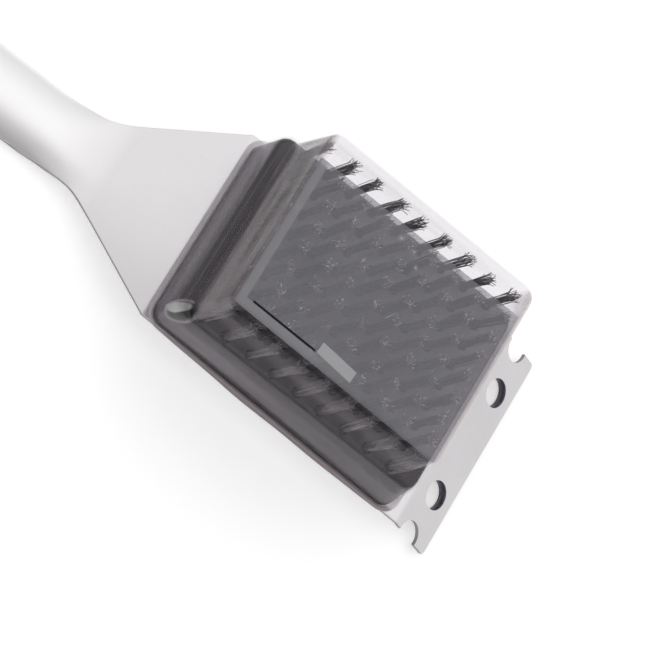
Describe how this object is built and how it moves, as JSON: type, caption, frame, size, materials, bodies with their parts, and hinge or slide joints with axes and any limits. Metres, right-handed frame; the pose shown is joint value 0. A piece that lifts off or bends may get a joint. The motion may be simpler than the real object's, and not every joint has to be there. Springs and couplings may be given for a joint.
{
  "type": "grill cleaning brush",
  "caption": "Long-handled wire brush for grill grates, with a stamped steel handle and scraper in one sheet, a black bristle block and a clear lift-off bristle guard.",
  "frame": {"origin": "middle of the head plate's back face", "axes": "+X from the handle towards the scraper, +Z the way the bristles point; the brush is symmetric about Y = 0 apart from the film on the guard"},
  "size_m": [0.4515, 0.086, 0.0791],
  "materials": {
    "steel_sheet": "satin",
    "black_plastic": "gloss",
    "bristle_wire": "satin",
    "screw_steel": "bright",
    "clear_plastic": "clear, thin formed sheet",
    "grey_film": "translucent film"
  },
  "bodies": {
    "root": {"brush_frame": "steel_sheet", "brush_block": "black_plastic", "tuft_row_1": "bristle_wire", "tuft_row_2": "bristle_wire", "tuft_row_3": "bristle_wire", "tuft_row_4": "bristle_wire", "tuft_row_5": "bristle_wire", "tuft_row_6": "bristle_wire", "tuft_row_7": "bristle_wire", "tuft_row_8": "bristle_wire", "tuft_row_9": "bristle_wire", "block_screw_1": "screw_steel", "block_screw_2": "screw_steel", "block_screw_3": "screw_steel", "block_screw_4": "screw_steel"},
    "guard": {"bristle_guard": "clear_plastic", "guard_film": "grey_film"}
  },
  "joints": [
    {"name": "guard_lift", "type": "slide", "parent": "root", "child": "guard", "axis": [0, 0, 1], "range_m": [0, 0.06]}
  ]
}
